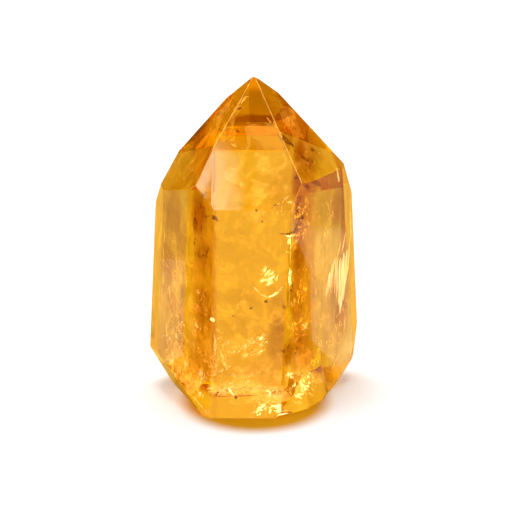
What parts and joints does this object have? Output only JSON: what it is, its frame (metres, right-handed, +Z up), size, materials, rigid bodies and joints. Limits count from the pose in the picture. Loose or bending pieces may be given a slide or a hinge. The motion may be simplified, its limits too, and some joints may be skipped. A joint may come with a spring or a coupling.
{
  "type": "citrine crystal point",
  "caption": "Standing citrine point: a clear orange-yellow quartz prism with a faceted tip and a flat ground foot.",
  "frame": {"origin": "on the base plane, under the middle of the bounding box", "axes": "+Z up through the point; -Y is the broad front facet of the prism; +X is the stone's right seen from the front"},
  "size_m": [0.0408, 0.038, 0.0619],
  "materials": {
    "citrine": "lapidary polish on the facets, fine ground on the foot; clear amber quartz with veils and small inclusions"
  },
  "bodies": {
    "root": {"crystal": "citrine"}
  },
  "joints": []
}
